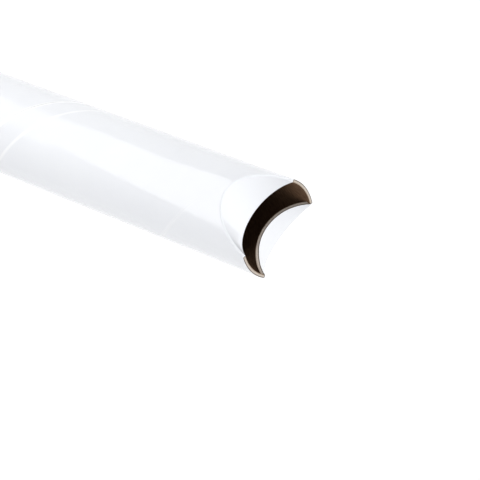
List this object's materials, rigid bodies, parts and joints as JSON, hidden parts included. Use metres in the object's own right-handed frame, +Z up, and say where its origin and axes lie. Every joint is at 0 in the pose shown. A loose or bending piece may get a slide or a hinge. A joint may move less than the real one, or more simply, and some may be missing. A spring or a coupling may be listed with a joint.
{
  "type": "crimped-end mailing tube",
  "caption": "White spiral-wound cardboard mailing tube, open at its base, with curved flaps folded in along scored creases at its top end.",
  "frame": {"origin": "centre of the open end's ring, on the surface that the tube stands on", "axes": "+Z up the tube towards the folded end, -Y towards the deeper flap"},
  "size_m": [0.0546, 0.0546, 0.3508],
  "materials": {
    "card": "white coated paper outside, brown kraft board inside and on the cut edges"
  },
  "bodies": {
    "root": {"tube": "card"}
  },
  "joints": []
}
